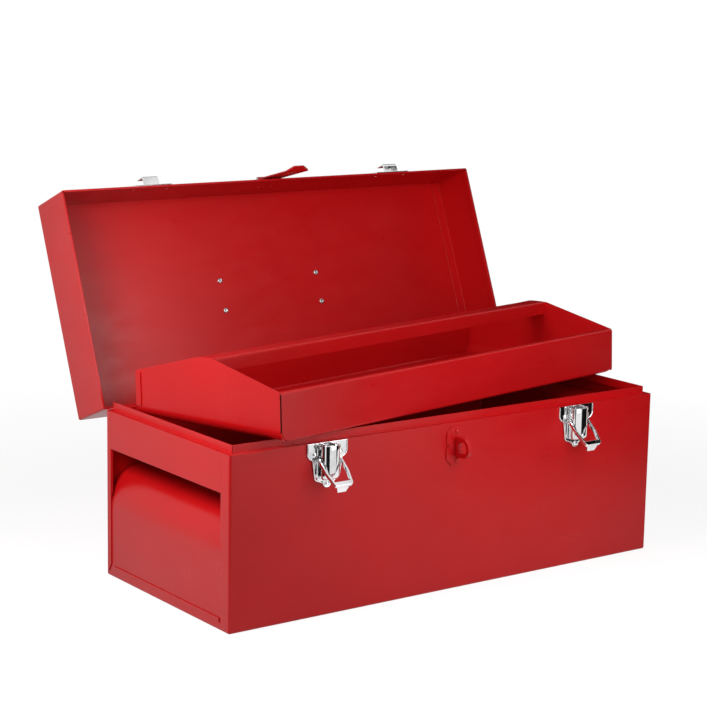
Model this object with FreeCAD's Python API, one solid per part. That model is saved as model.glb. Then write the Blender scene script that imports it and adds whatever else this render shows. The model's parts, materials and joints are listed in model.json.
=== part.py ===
import FreeCAD, Part
import math
import os

from FreeCAD import Placement, Rotation, Vector

# A steel tool box with a hinged lid, two draw latches, a padlock hasp and a lift-out tote tray.
# Millimetres, +X right, +Y to the back, +Z up, origin at the centre of the flat bottom.
# It is modelled as photographed: the lid open on its stop and the tray askew on the rims.

# Box
BOX_WIDTH = 508.0
BOX_DEPTH = 219.0
WALL_TOP = 163.3
SHEET = 1.0
FOLD_RADIUS = 2.0
LEDGE_WIDTH = 6.3
RIM_RISE = 7.3
BACK_HEM = 8.0
FRONT_FLANGE = 13.0
BACK_FLANGE = 8.0
BOTTOM_FLANGE = 11.3
FLANGE_NOTCH = 4.0
CORNER_RELIEF = 1.6
OVERRUN = 5.0

# Ends with their hand holds
SHELF_DROP = 55.3
SHOULDER_RADIUS = 39.0
SHELF_RUN = 2.5
POCKET_DROP = 13.3
END_FOOT = 12.0
BAND_HEIGHT = 36.6
HOLD_FRONT = 16.3
HOLD_BACK = 9.2
BAND_LEG = 44.7
BAND_HEM = 3.0

# Lid
LID_INSET = 0.3
LID_SETBACK = 0.4
LID_HEIGHT = 55.2
LID_GAP = 0.5
LID_OPEN = 112.0
LID_HEM = 6.0
LID_END_FLANGE = 10.0

# Lid hinge along the back
PIN_RADIUS = 1.1
PIN_FIT = 0.05
KNUCKLE_WALL = 0.95
KNUCKLE_COUNT = 7
KNUCKLE_GAP = 0.4
HINGE_MARGIN = 19.0
HINGE_AXIS_OUT = 2.4
HINGE_AXIS_DROP = 2.0
LEAF_THICK = 0.9
BODY_LEAF = 15.0
LID_LEAF = 16.0
HINGE_RIVET_COUNT = 4
HINGE_RIVET_EDGE = 4.5
RUNNING_GAP = 0.3

# Rivets
RIVET_RADIUS = 2.6
RIVET_HEAD = 1.3
RIVET_SHANK = 1.5
RIVET_TAIL = 1.0

# How many sides stand for a full round: small parts, knuckles and bends
SMALL_SIDES = 8
ROUND_SIDES = 12
BEND_SIDES = 24
BEND_STEPS = 3

# Draw latches on the front
LATCH_INSET = 103.5
PLATE_THICK = 1.2
PLATE_WIDTH = 44.5
PLATE_EAR_DROP = 15.8
PLATE_EAR_RADIUS = 7.4
PLATE_RIVET_SPREAD = 14.0
PLATE_RIVET_DROP = 10.5
PLATE_WAIST = 28.4
PLATE_HEIGHT = 35.8
PLATE_CORNER = 4.5
LUG_WIDTH = 9.0
LUG_DROP = 6.4
LUG_RIVET_DROP = 38.6
CHEEK_SPREAD = 12.0
CHEEK_HEIGHT = 11.5
CHEEK_EAR = 2.8
LEVER_WIDTH = 21.4
LEVER_SHEET = 1.0
LEVER_SIDE = 4.6
LEVER_CROWN = 10.2
LEVER_BACK_GAP = 0.6
LEVER_LENGTH = 29.0
LEVER_TOP = 2.4
LEVER_PIN_OUT = 4.4
LEVER_PIN_DROP = 3.9
LEVER_PIN_RADIUS = 1.2
BAIL_PIN_OUT = 4.2
BAIL_PIN_DROP = 15.0
BAIL_PIN_RADIUS = 1.0
BAIL_SHEET = 1.5
BAIL_ARM = 3.2
BAIL_LENGTH = 31.0
BAIL_KNEE = 16.0
BAIL_TAPER = 2.5
BAIL_HANG = 50.0
BAIL_BAR = 4.2
BAIL_LIP = 9.5
BAIL_LIP_TIP = 9.0
BAIL_LIP_TURN = 72.0

# Strikes on the lid
STRIKE_WIDTH = 48.5
STRIKE_HEIGHT = 15.0
STRIKE_CORNER = 4.0
STRIKE_RISE = 0.6
STRIKE_RIVET_SPREAD = 19.0
HOOK_WIDTH = 17.5
HOOK_OUT = 10.5
HOOK_RISE = 8.0
HOOK_SHEET = 1.6
HOOK_BEND = 2.4
HOOK_DROP = 10.5

# Padlock staple on the front
STAPLE_WIDTH = 25.0
STAPLE_DROP = 3.3
STAPLE_HEIGHT = 37.5
STAPLE_CHAMFER = 6.0
STAPLE_NOTCH = 3.0
STAPLE_LOOP_OUT = 21.0
STAPLE_LOOP_DROP = 10.0
STAPLE_LOOP_HEIGHT = 19.5
STAPLE_BAR = 4.0
STAPLE_RIVET_INSET = 4.8

# Hasp on the lid
HASP_WIDTH = 27.0
HASP_REACH = 62.0
HASP_SHEET = 1.4
HASP_OUT = 5.0
HASP_RISE = 18.0
HASP_LEAF = 15.0
HASP_PIN_RADIUS = 1.2
HASP_WALL = 1.15
HASP_KNUCKLE = 9.0
HASP_SLOT_WIDTH = 7.0
HASP_SLOT_MARGIN = 2.5
HASP_NOSE = 6.0
HASP_NOSE_TURN = 44.0
HASP_TIP = 10.0
HASP_LEAN = 8.0
HASP_RIVET_SPREAD = 7.5
HASP_RIVET_RISE = 10.0

# Carry handle on top of the lid
GRIP_SPAN = 122.0
HANDLE_SHIFT = -1.0
BRACKET_LENGTH = 44.0
BRACKET_WIDTH = 20.0
BRACKET_SHEET = 1.6
BRACKET_CORNER = 8.0
BRACKET_RIVET_SPREAD = 16.0
BRACKET_EAR = 6.0
HANDLE_AXIS_UP = 8.0
HANDLE_ROD = 3.2
HANDLE_REACH = 33.0
HANDLE_LEG_INSET = 11.5
HANDLE_BEND = 7.5
HANDLE_STUB = 7.0
GRIP_RADIUS = 7.6
GRIP_SWELL = 1.4
GRIP_TAPER = 12.0

# Tote tray
TRAY_END_PLAY = 15.25
TRAY_SIDE_PLAY = 10.5
TRAY_WALL = 44.5
TRAY_PEAK = 66.0
TRAY_SHEET = 0.9
TRAY_BEND = 2.0
TRAY_END_BEND = 9.0
TRAY_FLANGE = 6.0
TRAY_SIDE_TAB = 7.0
RAIL_WIDTH = 19.5
RAIL_SIDE = 13.5
TRAY_YAW = 9.66
TRAY_SHIFT_X = 9.3
TRAY_SHIFT_Y = 13.8
TRAY_SEAT_GAP = 0.3

X = Vector(1, 0, 0)
Y = Vector(0, 1, 0)
Z = Vector(0, 0, 1)
nodes = {}


def box(x0, y0, z0, x1, y1, z1):
    return Part.makeBox(x1 - x0, y1 - y0, z1 - z0, Vector(x0, y0, z0))


def rod(start, end, radius):
    return Part.makeCylinder(radius, (end - start).Length, start, end - start)


def prism(points, along):
    return Part.Face(Part.makePolygon(points + points[:1])).extrude(along)


def moved(shape, by):
    result = shape.copy()
    result.translate(by)
    return result


def turned(shape, point, axis, degrees):
    result = shape.copy()
    result.rotate(point, axis, degrees)
    return result


def mirrored(shape):
    return shape.mirror(Vector(0, 0, 0), X)


def joined(first, *others):
    result = first.multiFuse(list(others)).removeSplitter()
    return result.Solids[0] if len(result.Solids) == 1 else result


def rounded(shape, radius, wanted):
    """Fillet the straight edges whose middle point passes the test"""
    edges = [edge for edge in shape.Edges if wanted(edge.valueAt(sum(edge.ParameterRange) / 2), edge)]
    return shape.makeFillet(radius, edges)


def upright(edge):
    start, end = edge.firstVertex().Point, edge.lastVertex().Point
    return abs(start.z - end.z) > max(abs(start.x - end.x), abs(start.y - end.y))


def fold(points, thick, radius, normal):
    """The section of one folded sheet along an open line, with a round bend at each inner point"""
    sides = []
    for sign in (1, -1):
        offset = sign * thick / 2
        edges = []
        first = (points[1] - points[0]).normalize()
        last = points[0] + normal.cross(first) * offset
        for here in range(1, len(points) - 1):
            into = (points[here] - points[here - 1]).normalize()
            out = (points[here + 1] - points[here]).normalize()
            turn = into.getAngle(out)
            bend = radius[here - 1] if isinstance(radius, (list, tuple)) else radius
            reach = bend * math.tan(turn / 2)
            centre = points[here] + (out - into).normalize() * (bend / math.cos(turn / 2))
            begin = points[here] - into * reach + normal.cross(into) * offset
            finish = points[here] + out * reach + normal.cross(out) * offset
            crown = centre + (points[here] - centre).normalize() * (begin - centre).Length
            if (begin - last).Length > thick / 100:
                edges.append(Part.makeLine(last, begin))
            edges.append(Part.Arc(begin, crown, finish).toShape())
            last = finish
        final = (points[-1] - points[-2]).normalize()
        edges.append(Part.makeLine(last, points[-1] + normal.cross(final) * offset))
        sides.append(edges)
    ends = []
    for which in (0, -1):
        corner = [side[which].Vertexes[which].Point for side in sides]
        ends.append(Part.makeLine(corner[0], corner[1]))
    return Part.Face(Part.Wire(Part.__sortEdges__(sides[0] + sides[1] + ends)))


def ring(radius, height, sides):
    """The corners of a regular many-sided outline at one height"""
    turns = [2 * math.pi * (side + 1 / 2) / sides for side in range(sides)]
    return [Vector(radius * math.cos(turn), radius * math.sin(turn), height) for turn in turns]


def skin(rings):
    """The solid through a row of outlines that have the same number of corners"""
    faces = []
    for low, high in zip(rings, rings[1:]):
        for here in range(len(low)):
            after = (here + 1) % len(low)
            corners = [low[here], low[after], high[after], high[here], low[here]]
            faces.append(Part.Face(Part.makePolygon(corners)))
    for end in (rings[0], rings[-1]):
        faces.append(Part.Face(Part.makePolygon(end + end[:1])))
    result = Part.makeSolid(Part.makeShell(faces))
    if result.Volume < 0:
        result.reverse()
    return result


def bar(start, end, radius, sides):
    """A many-sided rod"""
    result = skin([ring(radius, 0, sides), ring(radius, (end - start).Length, sides)])
    result.Placement = Placement(start, Rotation(Z, end - start))
    return result


def hole(start, end, radius):
    """A many-sided cutter that just clears a round pin of this radius"""
    return bar(start, end, radius / math.cos(math.pi / SMALL_SIDES), SMALL_SIDES)


def curve(centre, radius, first, last):
    """Points along an arc in the XZ plane, from one angle to another in degrees"""
    steps = max(1, round(abs(last - first) * BEND_SIDES / 360))
    turns = [math.radians(first + (last - first) * step / steps) for step in range(steps + 1)]
    return [centre + Vector(math.cos(turn), 0, math.sin(turn)) * radius for turn in turns]


def plate(x0, y0, z0, x1, y1, z1, corner):
    """A flat plate that faces the front, with its four corners rounded"""
    outline = []
    for x, z, first in ((x1, z1, 0), (x0, z1, 90), (x0, z0, 180), (x1, z0, 270)):
        middle = Vector(x - math.copysign(corner, x - (x0 + x1) / 2), y0, z - math.copysign(corner, z - (z0 + z1) / 2))
        outline += curve(middle, corner, first, first + 90)
    return prism(outline, Y * (y1 - y0))


def rivet(seat, outward, grip):
    """A rivet whose head stands on its seat and whose shank runs inwards through the grip"""
    rings = [ring(RIVET_SHANK, -grip - RIVET_TAIL, SMALL_SIDES), ring(RIVET_SHANK, 0, SMALL_SIDES),
             ring(RIVET_RADIUS, 0, SMALL_SIDES), ring(RIVET_RADIUS * 2 / 3, RIVET_HEAD, SMALL_SIDES)]
    result = skin(rings)
    result.Placement = Placement(seat, Rotation(Z, outward))
    return result


def bore(seat, outward, depth):
    """A cutter for one rivet hole, as deep on both sides of the seat"""
    cutter = skin([ring(RIVET_SHANK, -depth, SMALL_SIDES), ring(RIVET_SHANK, depth, SMALL_SIDES)])
    cutter.Placement = Placement(seat, Rotation(Z, outward))
    return cutter


# Places that follow from the sizes
HALF = BOX_WIDTH / 2
FRONT = -BOX_DEPTH / 2
BACK = BOX_DEPTH / 2
RIM_TOP = WALL_TOP + RIM_RISE
SHELF_TOP = WALL_TOP - SHELF_DROP
BAND_BOTTOM = WALL_TOP - BAND_HEIGHT
HINGE_POINT = Vector(0, BACK + HINGE_AXIS_OUT, WALL_TOP - HINGE_AXIS_DROP)
LID_BOTTOM = WALL_TOP + LID_GAP
LID_TOP = LID_BOTTOM + LID_HEIGHT
LID_BACK = BACK + RUNNING_GAP
LID_FRONT = FRONT + LID_SETBACK
LID_HALF = HALF - LID_INSET
RIM_BACK = LID_BACK - SHEET * 2 - RUNNING_GAP * 2
HINGE_LENGTH = BOX_WIDTH - HINGE_MARGIN * 2
LATCH_PLACES = (LATCH_INSET - HALF, HALF - LATCH_INSET)
STAPLE_TOP = WALL_TOP - STAPLE_DROP
STAPLE_BOTTOM = STAPLE_TOP - STAPLE_HEIGHT
STAPLE_LOOP_TOP = STAPLE_TOP - STAPLE_LOOP_DROP
STAPLE_LOOP_BOTTOM = STAPLE_LOOP_TOP - STAPLE_LOOP_HEIGHT
TRAY_LENGTH = BOX_WIDTH - TRAY_END_PLAY * 2
TRAY_DEPTH = BOX_DEPTH - TRAY_SIDE_PLAY * 2
KNUCKLE_RADIUS = PIN_RADIUS + PIN_FIT + KNUCKLE_WALL


def folded_box():
    """The whole folded steel box as one shell, before it is parted into its sheets"""
    def wanted(point, edge):
        return point.z < WALL_TOP - SHEET and (upright(edge) or point.z < SHEET * 2)

    outer = rounded(box(-HALF, FRONT, 0, HALF, BACK, WALL_TOP), FOLD_RADIUS, wanted)
    cavity = box(SHEET - HALF, FRONT + SHEET, SHEET, HALF - SHEET, BACK - SHEET, WALL_TOP - SHEET)
    step = LEDGE_WIDTH
    collar = box(step - HALF, FRONT + step, WALL_TOP - SHEET, HALF - step, BACK, RIM_TOP)
    mouth = box(step + SHEET - HALF, FRONT + step + SHEET, WALL_TOP - SHEET * 2,
                HALF - step - SHEET, BACK + OVERRUN, RIM_TOP + OVERRUN)
    behind = box(-HALF, RIM_BACK, WALL_TOP, HALF, BACK + OVERRUN, RIM_TOP + OVERRUN)
    hem = box(step + SHEET - HALF, BACK - SHEET * 2, WALL_TOP - BACK_HEM, HALF - step - SHEET, BACK - SHEET, WALL_TOP)
    wall = box(step + SHEET - HALF, BACK - SHEET, WALL_TOP - BACK_HEM, HALF - step - SHEET, BACK, WALL_TOP)
    shell = outer.cut(cavity).fuse(collar).cut(mouth).cut(behind)
    return joined(shell, hem, wall)


def end_window(side, low, high, front, back, depth):
    """A block over one end between two heights, as wide as the gap between its flanges"""
    inner, outer = sorted((side * (HALF - depth), side * (HALF + OVERRUN)))
    return box(inner, front, low, outer, back, high)


def end_crown(side):
    """A mitred block over the ledge and rim of one end"""
    reach = LEDGE_WIDTH + SHEET * 2
    low = WALL_TOP - SHEET
    points = [Vector(side * (HALF + OVERRUN), FRONT - OVERRUN, low),
              Vector(side * (HALF - reach), FRONT + reach, low),
              Vector(side * (HALF - reach), BACK - SHEET, low),
              Vector(side * (HALF + OVERRUN), BACK - SHEET, low)]
    return prism(points, Z * (RIM_RISE + OVERRUN))


def latch_rivet_seats(middle):
    """Where the three rivets of one latch go through the front"""
    high = WALL_TOP - PLATE_RIVET_DROP
    return [Vector(middle - PLATE_RIVET_SPREAD, FRONT - PLATE_THICK, high),
            Vector(middle + PLATE_RIVET_SPREAD, FRONT - PLATE_THICK, high),
            Vector(middle, FRONT - PLATE_THICK, WALL_TOP - LUG_RIVET_DROP)]


def staple_rivet_seats():
    return [Vector(0, FRONT - PLATE_THICK, STAPLE_TOP - STAPLE_RIVET_INSET),
            Vector(0, FRONT - PLATE_THICK, STAPLE_BOTTOM + STAPLE_RIVET_INSET)]


def hinge_rivet_places():
    pitch = HINGE_LENGTH / HINGE_RIVET_COUNT
    return [pitch * (turn + 1 / 2) - HINGE_LENGTH / 2 for turn in range(HINGE_RIVET_COUNT)]


def body_rivet_holes():
    holes = []
    for middle in LATCH_PLACES:
        for seat in latch_rivet_seats(middle):
            holes.append(bore(seat, -Y, OVERRUN))
    for seat in staple_rivet_seats():
        holes.append(bore(seat, -Y, OVERRUN))
    low = HINGE_POINT.z - BODY_LEAF + HINGE_RIVET_EDGE
    for place in hinge_rivet_places():
        holes.append(bore(Vector(place, BACK, low), Y, OVERRUN))
    return holes


def make_body():
    shell = folded_box()
    front, back = FRONT + FRONT_FLANGE, BACK - BACK_FLANGE
    wrap = shell
    for side in (-1, 1):
        window = end_window(side, BOTTOM_FLANGE, WALL_TOP - SHEET, front, back, SHEET * 2)
        notch = end_window(side, BOTTOM_FLANGE - FLANGE_NOTCH, BOTTOM_FLANGE + OVERRUN,
                           front, front + FLANGE_NOTCH, SHEET * 2)
        corner = prism([Vector(side * (HALF + OVERRUN), back, BOTTOM_FLANGE + SHEET),
                        Vector(side * (HALF + OVERRUN), back - BACK_FLANGE, BOTTOM_FLANGE + SHEET),
                        Vector(side * (HALF + OVERRUN), back + BACK_FLANGE * 3 / 4, SHEET * 3)],
                       Vector(-side * (OVERRUN + SHEET * 2), 0, 0))
        relief = box(min(side * HALF, side * (HALF - CORNER_RELIEF)), FRONT - OVERRUN, WALL_TOP - CORNER_RELIEF,
                     max(side * HALF, side * (HALF - CORNER_RELIEF)), FRONT + CORNER_RELIEF, WALL_TOP + OVERRUN)
        wrap = wrap.cut([window, notch, corner, relief, end_crown(side)])
    wrap = wrap.cut(body_rivet_holes())
    nodes["body_wrap"] = joined(wrap)

    band_window = end_window(1, BAND_BOTTOM, WALL_TOP - SHEET, front, back, SHEET)
    band = shell.common(band_window)
    crown = shell.common(end_crown(1))
    inner = HALF - SHEET * 2
    clear = SHEET / 10
    leg_start = BAND_BOTTOM - BAND_LEG
    front_leg = box(inner, FRONT + SHEET + FOLD_RADIUS, leg_start,
                    HALF - SHEET, FRONT + HOLD_FRONT, WALL_TOP - SHEET)
    back_leg = box(inner, BACK - HOLD_BACK, leg_start,
                   HALF - SHEET, BACK - SHEET * 2 - FOLD_RADIUS, WALL_TOP - SHEET)
    hem = box(inner, front + clear, BAND_BOTTOM, HALF, back - clear, BAND_BOTTOM + BAND_HEM)
    band = joined(band, crown, front_leg, back_leg, hem)
    nodes["handle_band_right"] = band
    nodes["handle_band_left"] = mirrored(band)

    middle = HALF - SHEET * 3 / 2
    run = SHEET * 3 / 2
    shelf, top = SHELF_TOP - SHEET / 2, WALL_TOP - POCKET_DROP - SHEET / 2
    inner = middle - SHOULDER_RADIUS - SHELF_RUN
    points = [Vector(middle - END_FOOT, 0, run), Vector(middle, 0, run), Vector(middle, 0, shelf),
              Vector(inner, 0, shelf), Vector(inner, 0, top), Vector(HALF - SHEET * 2, 0, top)]
    section = fold(points, SHEET, [FOLD_RADIUS, SHOULDER_RADIUS - SHEET / 2, run, run], Y)
    panel = moved(section.extrude(Y * (BOX_DEPTH - FOLD_RADIUS * 2)), Vector(0, FRONT + FOLD_RADIUS, 0))
    nodes["end_panel_right"] = panel
    nodes["end_panel_left"] = mirrored(panel)


# The handle hangs straight down when the lid is open
HANDLE_HANG = LID_OPEN - 90


# The lid's pieces are made closed, and opened together at the end
def lid_seats():
    """Where rivets go through the lid: hinge, strikes, hasp and handle brackets"""
    seats = []
    high = HINGE_POINT.z + LID_LEAF - HINGE_RIVET_EDGE
    for place in hinge_rivet_places():
        seats.append((Vector(place, LID_BACK + LEAF_THICK, high), Y))
    return seats


def strike_seats(middle):
    high = LID_BOTTOM + STRIKE_RISE + STRIKE_HEIGHT / 2
    return [Vector(middle + side * STRIKE_RIVET_SPREAD, LID_FRONT - PLATE_THICK, high) for side in (-1, 1)]


def hasp_seats():
    high = LID_BOTTOM + HASP_RISE + HASP_RIVET_RISE
    return [Vector(side * HASP_RIVET_SPREAD, LID_FRONT - HASP_SHEET, high) for side in (-1, 1)]


def bracket_seats(side):
    return [Vector(side * GRIP_SPAN / 2, HANDLE_SHIFT + place * BRACKET_RIVET_SPREAD, LID_TOP + BRACKET_SHEET)
            for place in (-1, 1)]


def lid_rivet_holes():
    holes = [bore(seat, outward, OVERRUN / 2) for seat, outward in lid_seats()]
    for middle in LATCH_PLACES:
        for seat in strike_seats(middle):
            holes.append(bore(seat, -Y, OVERRUN))
    for seat in hasp_seats():
        holes.append(bore(seat, -Y, OVERRUN))
    for side in (-1, 1):
        for seat in bracket_seats(side):
            holes.append(bore(seat, Z, OVERRUN))
    return holes


def make_lid():
    def wanted(point, edge):
        return point.z > LID_BOTTOM + SHEET * 2 and (upright(edge) or point.z > LID_TOP - SHEET * 2)

    outer = rounded(box(-LID_HALF, LID_FRONT, LID_BOTTOM, LID_HALF, LID_BACK, LID_TOP), FOLD_RADIUS, wanted)
    cavity = box(SHEET - LID_HALF, LID_FRONT + SHEET, LID_BOTTOM - OVERRUN,
                 LID_HALF - SHEET, LID_BACK - SHEET, LID_TOP - SHEET)
    shell = outer.cut(cavity)
    for sign in (-1, 1):
        far = LID_FRONT + SHEET if sign < 0 else LID_BACK - SHEET
        near = far - sign * SHEET
        run = LID_HALF - FOLD_RADIUS
        hem = box(-run, min(near, far), LID_BOTTOM, run, max(near, far), LID_BOTTOM + LID_HEM)
        shell = shell.fuse(hem)
    reach = SHEET + LID_END_FLANGE
    core = box(SHEET - LID_HALF, LID_FRONT - OVERRUN, LID_BOTTOM - OVERRUN,
               LID_HALF - SHEET, LID_BACK + OVERRUN, LID_TOP + OVERRUN)
    wrap = shell.common(core)
    nodes["lid_wrap"] = joined(wrap.cut(lid_rivet_holes()))

    cover = shell.common(box(LID_HALF - SHEET, LID_FRONT - OVERRUN, LID_BOTTOM - OVERRUN,
                             LID_HALF + OVERRUN, LID_BACK + OVERRUN, LID_TOP + OVERRUN))
    gap = SHEET / 10
    inset = SHEET + gap
    flange = box(LID_HALF - reach, LID_FRONT + inset, LID_BOTTOM + LID_HEM + SHEET,
                 LID_HALF - SHEET, LID_BACK - inset, LID_TOP - inset)
    hollow = box(LID_HALF - reach - OVERRUN, LID_FRONT + inset + SHEET, LID_BOTTOM,
                 LID_HALF - SHEET, LID_BACK - inset - SHEET, LID_TOP - inset - SHEET)
    lip = box(LID_HALF - SHEET * 2, LID_FRONT + FOLD_RADIUS + SHEET, LID_BOTTOM,
              LID_HALF - SHEET, LID_BACK - FOLD_RADIUS - SHEET, LID_BOTTOM + LID_HEM)
    end = joined(cover, flange.cut(hollow), lip)
    nodes["lid_end_right"] = end
    nodes["lid_end_left"] = mirrored(end)


def knuckle_spans():
    """The stretches of the hinge knuckles along the pin, in order"""
    pitch = HINGE_LENGTH / KNUCKLE_COUNT
    start = -HINGE_LENGTH / 2
    return [(start + pitch * turn, start + pitch * (turn + 1)) for turn in range(KNUCKLE_COUNT)]


def make_hinge():
    axis_y, axis_z = HINGE_POINT.y, HINGE_POINT.z
    half = HINGE_LENGTH / 2
    bodies = {0: box(-half, BACK, axis_z - BODY_LEAF, half, BACK + LEAF_THICK, axis_z),
              1: box(-half, LID_BACK, axis_z, half, LID_BACK + LEAF_THICK, axis_z + LID_LEAF)}
    tubes = {0: [], 1: []}
    rooms = {0: [], 1: []}
    for place, (low, high) in enumerate(knuckle_spans()):
        owner = place % 2
        first = low + (KNUCKLE_GAP / 2 if place else 0)
        last = high - (KNUCKLE_GAP / 2 if place < KNUCKLE_COUNT - 1 else 0)
        tubes[owner].append(bar(Vector(first, axis_y, axis_z), Vector(last, axis_y, axis_z),
                                KNUCKLE_RADIUS, ROUND_SIDES))
        rooms[1 - owner].append(bar(Vector(low - KNUCKLE_GAP / 2, axis_y, axis_z),
                                    Vector(high + KNUCKLE_GAP / 2, axis_y, axis_z),
                                    KNUCKLE_RADIUS + RUNNING_GAP, ROUND_SIDES))
    tunnel = hole(Vector(-half - OVERRUN, axis_y, axis_z), Vector(half + OVERRUN, axis_y, axis_z),
                  PIN_RADIUS + PIN_FIT)
    holes = {0: [bore(Vector(place, BACK, axis_z - BODY_LEAF + HINGE_RIVET_EDGE), Y, OVERRUN)
                 for place in hinge_rivet_places()],
             1: [bore(seat, Y, OVERRUN) for seat, outward in lid_seats()]}
    leaves = {}
    for owner in (0, 1):
        leaf = bodies[owner].cut(rooms[owner]).multiFuse(tubes[owner])
        leaves[owner] = joined(leaf.cut([tunnel] + holes[owner]))
    nodes["hinge_leaf_body"] = leaves[0]
    nodes["hinge_leaf_lid"] = leaves[1]
    pin = rod(Vector(-half, axis_y, axis_z), Vector(half, axis_y, axis_z), PIN_RADIUS)
    heads = [bar(Vector(side * half, axis_y, axis_z), Vector(side * (half + PIN_RADIUS), axis_y, axis_z),
                 KNUCKLE_RADIUS, SMALL_SIDES) for side in (-1, 1)]
    nodes["hinge_pin"] = joined(pin, *heads)
    low = axis_z - BODY_LEAF + HINGE_RIVET_EDGE
    nodes["hinge_rivets_body"] = Part.makeCompound(
        [rivet(Vector(place, BACK + LEAF_THICK, low), Y, LEAF_THICK + SHEET) for place in hinge_rivet_places()])
    nodes["hinge_rivets_lid"] = Part.makeCompound(
        [rivet(seat, outward, LEAF_THICK + SHEET) for seat, outward in lid_seats()])


def latch_plate():
    """The T-shaped base plate of a latch, with two cheeks that carry the lever"""
    front = FRONT - PLATE_THICK
    half, waist, lug = PLATE_WIDTH / 2, PLATE_WAIST / 2, LUG_WIDTH / 2
    foot = WALL_TOP - PLATE_HEIGHT
    ear = Vector(half - PLATE_EAR_RADIUS, front, WALL_TOP - PLATE_EAR_DROP + PLATE_EAR_RADIUS)
    corner = Vector(waist - PLATE_CORNER, front, foot + PLATE_CORNER)
    tip = Vector(0, front, foot - LUG_DROP + lug)
    right = [Vector(half, front, WALL_TOP)] + curve(ear, PLATE_EAR_RADIUS, 0, -90)
    right += [Vector(waist, front, WALL_TOP - PLATE_EAR_DROP)] + curve(corner, PLATE_CORNER, 0, -90)
    right += [Vector(lug, front, foot)] + curve(tip, lug, 0, -90)
    left = [Vector(-point.x, point.y, point.z) for point in reversed(right[:-1])]
    pin_z = WALL_TOP - LEVER_PIN_DROP
    pin = Vector(FRONT - LEVER_PIN_OUT, 0, pin_z)
    side_view = [Vector(front, 0, WALL_TOP - CHEEK_HEIGHT), Vector(front, 0, pin_z + CHEEK_EAR)]
    side_view += curve(pin, CHEEK_EAR, 90, 180) + [Vector(pin.x - CHEEK_EAR, 0, WALL_TOP - CHEEK_HEIGHT)]
    cheeks = []
    for start in (-CHEEK_SPREAD / 2, CHEEK_SPREAD / 2 - PLATE_THICK):
        cheeks.append(prism([Vector(start, point.x, point.z) for point in side_view], X * PLATE_THICK))
    base = joined(prism(right + left, Y * PLATE_THICK), *cheeks)
    pin_hole = hole(Vector(-half, pin.x, pin_z), Vector(half, pin.x, pin_z), LEVER_PIN_RADIUS + PIN_FIT)
    return base.cut([pin_hole] + [bore(seat, -Y, OVERRUN) for seat in latch_rivet_seats(0)])


def headed_pin(start, end, radius):
    """A round pin with a flat head at each end"""
    along = (end - start).normalize() * (PLATE_THICK / 2)
    heads = [bar(start - along, start, radius * 3 / 2, SMALL_SIDES), bar(end, end + along, radius * 3 / 2, SMALL_SIDES)]
    return joined(rod(start, end, radius), *heads)


def latch_lever():
    """The half-round cover lever, open behind, with rounded ears round its pin"""
    half = LEVER_WIDTH / 2
    low = FRONT - PLATE_THICK - LEVER_BACK_GAP
    pin = Vector(FRONT - LEVER_PIN_OUT, 0, WALL_TOP - LEVER_PIN_DROP)
    foot = pin.z - LEVER_LENGTH + LEVER_TOP
    height = Z * (LEVER_LENGTH + LEVER_TOP)
    skins = []
    for inset in (0, LEVER_SHEET):
        side, rise = half - inset, LEVER_CROWN - inset - LEVER_SIDE
        radius = (side * side + rise * rise) / (rise * 2)
        spread = math.degrees(math.asin(side / radius))
        crown = curve(Vector(0, 0, FRONT - LEVER_CROWN + inset + radius), radius, spread - 90, -spread - 90)
        section = [Vector(point.x, point.z, foot) for point in crown]
        behind = low if not inset else FRONT
        skins.append(prism([Vector(half - inset, behind, foot)] + section + [Vector(inset - half, behind, foot)], height))
    crown_y = FRONT - LEVER_CROWN - OVERRUN
    side_view = [Vector(FRONT, 0, foot - OVERRUN)] + curve(pin, LEVER_TOP, 0, 90)
    side_view += [Vector(crown_y, 0, pin.z + LEVER_TOP / 2), Vector(crown_y, 0, foot - OVERRUN)]
    keep = prism([Vector(-half - OVERRUN, point.x, point.z) for point in side_view], X * (half + OVERRUN) * 2)
    cover = skins[0].cut(skins[1]).common(keep)
    holes = []
    for out, drop, radius in ((LEVER_PIN_OUT, LEVER_PIN_DROP, LEVER_PIN_RADIUS),
                              (BAIL_PIN_OUT, BAIL_PIN_DROP, BAIL_PIN_RADIUS)):
        start = Vector(-half - OVERRUN, FRONT - out, WALL_TOP - drop)
        holes.append(hole(start, start + X * ((half + OVERRUN) * 2), radius + PIN_FIT))
    return joined(cover.cut(holes))


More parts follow.
